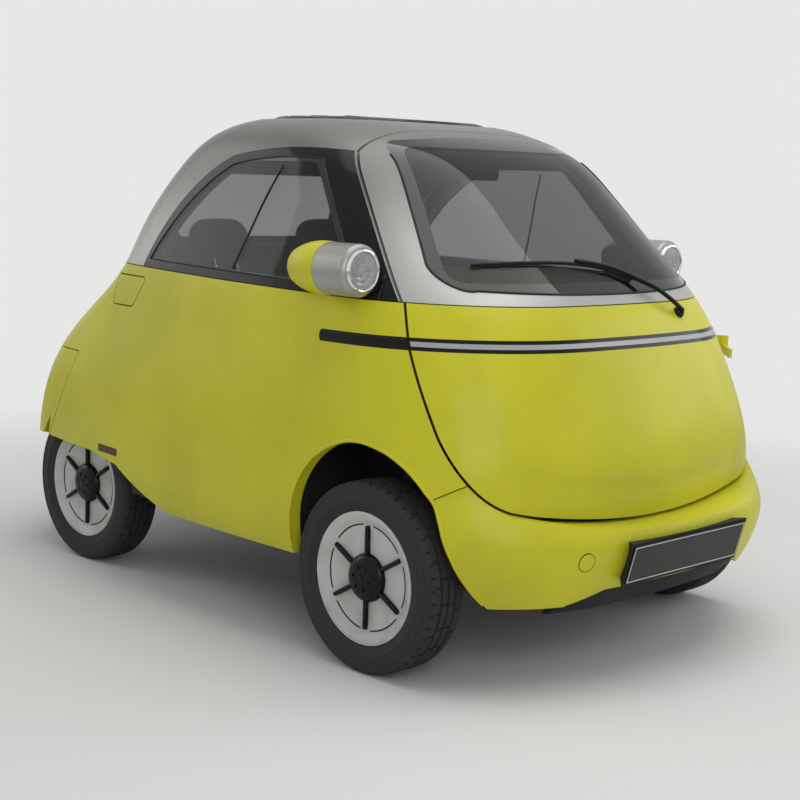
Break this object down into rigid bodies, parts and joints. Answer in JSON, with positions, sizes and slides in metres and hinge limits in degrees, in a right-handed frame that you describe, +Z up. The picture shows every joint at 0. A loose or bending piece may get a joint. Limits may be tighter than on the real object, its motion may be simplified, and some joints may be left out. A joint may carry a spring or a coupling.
{
  "type": "microcar",
  "caption": "Two-seat microcar whose whole nose is a side-hinged front door, with bubble roof, lamp pods, steered front wheels, narrow rear track and a tailgate.",
  "frame": {"origin": "on the ground, on the middle plane, half way along the body", "axes": "-Y towards the nose, +Z up, +X towards the car's left"},
  "size_m": [1.5263, 2.5402, 1.5025],
  "materials": {
    "yellow_paint": "satin",
    "silver_paint": "satin",
    "black_gloss": "gloss",
    "dark_plastic": "fine grain",
    "roof_fabric": "coarse weave",
    "tinted_glass": "gloss",
    "lamp_glass": "gloss",
    "mirror_glass": "polished",
    "red_lens": "gloss",
    "seat_fabric": "woven",
    "alloy": "cast",
    "black_steel": "satin",
    "plate_black": "satin",
    "soft_grip": "fine grain",
    "tyre_rubber": "matt",
    "wheel_paint": "satin"
  },
  "bodies": {
    "root": {"floor_pan": "dark_plastic", "side_panel_left": "yellow_paint", "side_panel_right": "yellow_paint", "front_bumper": "yellow_paint", "front_intake": "dark_plastic", "rear_bumper": "yellow_paint", "roof_shell": "silver_paint", "sunroof": "roof_fabric", "window_frames": "black_gloss", "side_glass": "tinted_glass", "lamp_pods": "silver_paint", "pod_shells": "yellow_paint", "lamp_glasses": "lamp_glass", "mirror_glasses": "mirror_glass", "side_light_strips": "black_gloss", "side_markers": "red_lens", "seat_base": "dark_plastic", "battery_block": "alloy", "seat_cushion": "seat_fabric", "seat_back": "seat_fabric", "headrests": "seat_fabric", "steering_column": "dark_plastic", "pedals": "black_steel", "body_hinges": "black_steel", "front_axle": "black_steel", "motor_block": "alloy", "rear_axle": "black_steel", "number_plates": "plate_black", "plate_holders": "dark_plastic", "charge_inlet": "dark_plastic"},
    "front_door": {"door_panel": "yellow_paint", "windscreen_frame": "silver_paint", "windscreen": "tinted_glass", "front_light_bar": "black_gloss", "door_hinges": "black_steel", "door_bar": "dark_plastic"},
    "tailgate": {"tailgate_panel": "yellow_paint", "tailgate_frame": "silver_paint", "rear_glass": "tinted_glass", "rear_light_bar": "red_lens", "hatch_hinges": "black_steel"},
    "charge_flap": {"charge_flap": "yellow_paint"},
    "steering_wheel": {"steering_wheel": "soft_grip"},
    "knuckle_left": {"knuckle_left": "black_steel"},
    "knuckle_right": {"knuckle_right": "black_steel"},
    "wheel_front_left": {"tyre_front_left": "tyre_rubber", "rim_front_left": "wheel_paint", "hub_cap_front_left": "black_gloss"},
    "wheel_front_right": {"tyre_front_right": "tyre_rubber", "rim_front_right": "wheel_paint", "hub_cap_front_right": "black_gloss"},
    "wheel_rear_left": {"tyre_rear_left": "tyre_rubber", "rim_rear_left": "wheel_paint", "hub_cap_rear_left": "black_gloss"},
    "wheel_rear_right": {"tyre_rear_right": "tyre_rubber", "rim_rear_right": "wheel_paint", "hub_cap_rear_right": "black_gloss"}
  },
  "joints": [
    {"name": "front_door_hinge", "type": "hinge", "parent": "root", "child": "front_door", "pos_m": [0.735, -0.85, 0.65], "axis": [0, 0, 1], "range_deg": [0, 80]},
    {"name": "tailgate_hinge", "type": "hinge", "parent": "root", "child": "tailgate", "pos_m": [0, 0.47, 1.428], "axis": [1, 0, 0], "range_deg": [0, 70]},
    {"name": "charge_flap_hinge", "type": "hinge", "parent": "root", "child": "charge_flap", "pos_m": [-0.588, 0.607, 0.893], "axis": [-0.19, 0, -0.9818], "range_deg": [0, 85]},
    {"name": "steering_wheel_turn", "type": "hinge", "parent": "root", "child": "steering_wheel", "pos_m": [0.235, -0.452, 0.812], "axis": [0, 0.848, 0.5299], "range_deg": [-480, 480]},
    {"name": "steer_left", "type": "hinge", "parent": "root", "child": "knuckle_left", "pos_m": [0.64, -0.714, 0.262], "axis": [0, 0, 1], "range_deg": [-32, 32]},
    {"name": "steer_right", "type": "hinge", "parent": "root", "child": "knuckle_right", "pos_m": [-0.64, -0.714, 0.262], "axis": [0, 0, 1], "range_deg": [-32, 32]},
    {"name": "wheel_front_left_spin", "type": "hinge", "parent": "knuckle_left", "child": "wheel_front_left", "pos_m": [0.655, -0.714, 0.262], "axis": [1, 0, 0], "continuous": true},
    {"name": "wheel_front_right_spin", "type": "hinge", "parent": "knuckle_right", "child": "wheel_front_right", "pos_m": [-0.655, -0.714, 0.262], "axis": [1, 0, 0], "continuous": true},
    {"name": "wheel_rear_left_spin", "type": "hinge", "parent": "root", "child": "wheel_rear_left", "pos_m": [0.52, 0.804, 0.262], "axis": [1, 0, 0], "continuous": true},
    {"name": "wheel_rear_right_spin", "type": "hinge", "parent": "root", "child": "wheel_rear_right", "pos_m": [-0.52, 0.804, 0.262], "axis": [1, 0, 0], "continuous": true}
  ],
  "couplings": [
    {"joint": "steer_right", "follows": "steer_left", "ratio": 1},
    {"joint": "steering_wheel_turn", "follows": "steer_left", "ratio": 15}
  ]
}
